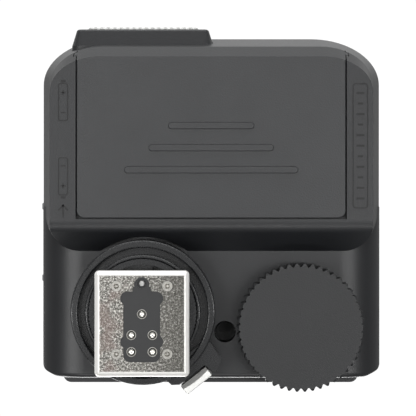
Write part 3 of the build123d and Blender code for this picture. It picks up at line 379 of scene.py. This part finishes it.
# ---- boards, encoder and sounder ----
# Green solder mask over copper, with black moulded parts on it. All of it is inside the case.
board_mask, place, feed = finish("board_mask", (0.02, 0.12, 0.05), 0.35, 0.0, Coat_Weight=0.3)
tracks = place.node("ShaderNodeTexVoronoi", {"feature": "DISTANCE_TO_EDGE"},
                    {"Vector": place, "Scale": 420.0}).between(0.02, 0.05)
feed(Base_Color=tracks.mixed((0.03, 0.20, 0.08), (0.015, 0.10, 0.04)))
dress(board_mask, "main_board", "control_board")
part_black = moulded("part_black", (0.022, 0.022, 0.024), 0.5, 0.2 * mm, 0.006 * mm)
dress(part_black, "dial_encoder", "beeper", "switch_bodies", "sync_jack")

# ---- keys and their mat ----
# Satin key caps, each in its own opening, over one silicone mat that springs them back. The test
# key in the side is moulded alike.
key_plastic = moulded("key_plastic", (0.065, 0.067, 0.072), 0.38, 0.22 * mm, 0.008 * mm)
dress(key_plastic, "set_button", "test_button",
      *[name for name in nodes if name.startswith(("group_button", "function_button"))])
mat_rubber = moulded("mat_rubber", (0.20, 0.20, 0.21), 0.7, 0.4 * mm, 0.01 * mm)
dress(mat_rubber, "keypad_mat")

# ---- display ----
# A smoked, hard-coated window bonded into the face. Behind it the unlit panel shows as a slightly
# greener rectangle.
window_low, window_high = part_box("display_window")
window_clear, place, feed = finish("window_clear", (0.012, 0.012, 0.014), 0.08, 0.0, Coat_Weight=1.0)
x, y, z = place.axes()
middle_x = (window_low.x + window_high.x) / 2
middle_y = (window_low.y + window_high.y) / 2
half_x = (window_high.x - window_low.x) / 2 - 3.2 * mm
half_y = (window_high.y - window_low.y) / 2 - 3.0 * mm
panel_x = (x - middle_x).maths("ABSOLUTE").between(half_x, half_x + 0.1 * mm)
panel_y = (y - middle_y).maths("ABSOLUTE").between(half_y, half_y + 0.1 * mm)
inside = 1.0 - panel_x.maths("MAXIMUM", panel_y)
feed(Base_Color=inside.mixed((0.008, 0.008, 0.010), (0.055, 0.070, 0.062)),
     Roughness=0.07 + 0.05 * place.noise(6 * mm))
dress(window_clear, "display_window")
panel_glass, place, feed = finish("panel_glass", (0.08, 0.10, 0.09), 0.12)
feed(Roughness=0.10 + 0.06 * place.noise(3 * mm))
dress(panel_glass, "lcd_module")
frame_white = moulded("frame_white", (0.70, 0.70, 0.70), 0.5, 0.3 * mm, 0.006 * mm)
dress(frame_white, "lcd_frame")

# ---- pass-through shoe ----
# Sheet steel folded into rails over a black floor with gold-flashed pads. Four blackened screws
# hold it to the deck.
shoe_metal = metal("shoe_metal", (0.58, 0.58, 0.57), 0.32, 0.25 * mm, 0.2, (1.0, 0.06, 1.0))
dress(shoe_metal, "shoe_rails")
shoe_plastic = moulded("shoe_plastic", (0.030, 0.030, 0.032), 0.40, 0.2 * mm, 0.006 * mm)
dress(shoe_plastic, "shoe_floor")
pad_gold = metal("pad_gold", (0.85, 0.66, 0.32), 0.22, 0.3 * mm)
dress(pad_gold, "shoe_contacts")
screw_black = metal("screw_black", (0.16, 0.16, 0.17), 0.34, 0.2 * mm)
dress(screw_black, "shoe_screws", "post_screws")

# ---- case screws ----
# Screws sunk so deep in their wells that their heads hardly show, coloured near-black as painted
# shade of the wells. They hold the two halves of the case together.
screw_heads_painted_shade = moulded("screw_heads_painted_shade", (0.004, 0.004, 0.004), 0.6, 0.2 * mm, 0.004 * mm)
dress(screw_heads_painted_shade, "case_screws")

# ---- assist lamp and status light ----
# A clear moulding in the front housing, fluted to spread the lamp, and a small frosted light pipe in
# the deck. The lens is coloured pale grey as a painted highlight along its lip, with painted light
# and shade striped across its flutes.
lens_painted_pale, place, feed = finish("lens_painted_pale", (0.6, 0.6, 0.6), 0.16, 0.0, Coat_Weight=1.0)
x, y, z = place.axes()
flute_pitch = 1.3 * mm
flute_ridges_and_painted_light = (x * (math.tau / flute_pitch)).maths("SINE")
# Painted highlight and shade: a pale grey base with lighter and darker stripes that follow the flutes.
feed(Base_Color=flute_ridges_and_painted_light.between(-1.0, 1.0).mixed((0.40, 0.40, 0.39), (0.66, 0.66, 0.65)),
     Normal=flute_ridges_and_painted_light.bump(0.1 * mm, 0.35))
dress(lens_painted_pale, "lamp_lens")
lamp_ceramic = moulded("lamp_ceramic", (0.78, 0.76, 0.66), 0.5, 0.3 * mm, 0.005 * mm)
dress(lamp_ceramic, "lamp_led")
status_frosted, place, feed = finish("status_frosted", (0.72, 0.75, 0.78), 0.35)
feed(Roughness=0.30 + 0.12 * place.noise(0.4 * mm))
dress(status_frosted, "status_lens")

# ---- side controls and sockets ----
# Two grey sliders that stand out of one side, and a charging socket drawn from steel sheet in the
# other.
slider_plastic = moulded("slider_plastic", (0.17, 0.175, 0.18), 0.42, 0.2 * mm, 0.008 * mm)
dress(slider_plastic, "power_switch", "lamp_switch")
socket_steel = metal("socket_steel", (0.64, 0.64, 0.63), 0.28, 0.2 * mm)
dress(socket_steel, "usb_port")

# ---- studio ----
# The trigger hangs over a pale table, seen straight from below with its lens side up. Long soft
# lights stand on all four sides of the camera and one on the lens side, with one over the deck and
# a white patch of sky behind the object.
camera_data = bpy.data.cameras.new("camera")
camera_data.lens = 146.9
camera_data.clip_start, camera_data.clip_end = 0.01, 20.0
camera = bpy.data.objects.new("camera", camera_data)
camera.location = (-12.96 * mm, 20.8 * mm, -332 * mm)
camera.rotation_euler = (0.0, math.pi, 0.0)
bpy.context.collection.objects.link(camera)
bpy.context.scene.camera = camera

floor_mesh = bpy.data.meshes.new("pale_floor")
floor_shape = bmesh.new()
bmesh.ops.create_grid(floor_shape, x_segments=1, y_segments=1, size=6.0)
bmesh.ops.translate(floor_shape, verts=floor_shape.verts, vec=(0, 0, -0.65))
floor_shape.to_mesh(floor_mesh)
floor_shape.free()
pale_floor = bpy.data.objects.new("pale_floor", floor_mesh)
bpy.context.collection.objects.link(pale_floor)
floor_paper, place, feed = finish("floor_paper", (0.55, 0.55, 0.55), 0.9)
feed(Roughness=0.85 + 0.1 * place.noise(0.05))
floor_mesh.materials.append(floor_paper)


def softbox(name, place, aim, size, power):
    """A rectangular area light at a place, aimed at a point, with its power in watts."""
    data = bpy.data.lights.new(name, "AREA")
    data.shape = "RECTANGLE"
    data.size, data.size_y = size
    data.energy = power
    light = bpy.data.objects.new(name, data)
    light.location = place
    light.rotation_euler = (Vector(aim) - Vector(place)).to_track_quat("-Z", "Y").to_euler()
    bpy.context.collection.objects.link(light)


middle = (-0.013, 0.02, 0.01)
softbox("front_light", (-0.013, 0.45, -0.10), middle, (0.6, 0.12), 1.5)
softbox("camera_light", (0.0, 0.21, -0.50), middle, (0.36, 0.07), 0.46)
softbox("rear_light", (-0.013, -0.36, -0.36), middle, (0.4, 0.05), 0.52)
softbox("left_light", (0.27, -0.02, -0.42), middle, (0.05, 0.34), 0.95)
softbox("right_light", (-0.27, -0.02, -0.42), middle, (0.05, 0.34), 0.75)
softbox("top_light", (0.1, -0.35, 0.55), middle, (0.5, 0.5), 5.0)

world = bpy.data.worlds.new("pale_sky")
world.use_nodes = True
sky_tree = world.node_tree
heading = Socket(sky_tree, sky_tree.nodes.new("ShaderNodeTexCoord").outputs["Generated"])
x, y, z = heading.axes()
overhead = z.between(0.955, 0.98)
ahead = y.between(0.1, 0.6) * z.between(-0.02, 0.12)
above = z.between(-0.02, 0.12) * 0.2 + 0.09
sky = (above + overhead.maths("MAXIMUM", ahead)).maths("MINIMUM", 1.0)
sky_tree.links.new(sky.output, sky_tree.nodes["Background"].inputs["Color"])
sky_tree.nodes["Background"].inputs["Strength"].default_value = 1.05
bpy.context.scene.world = world
bpy.context.scene.view_settings.view_transform = "Standard"
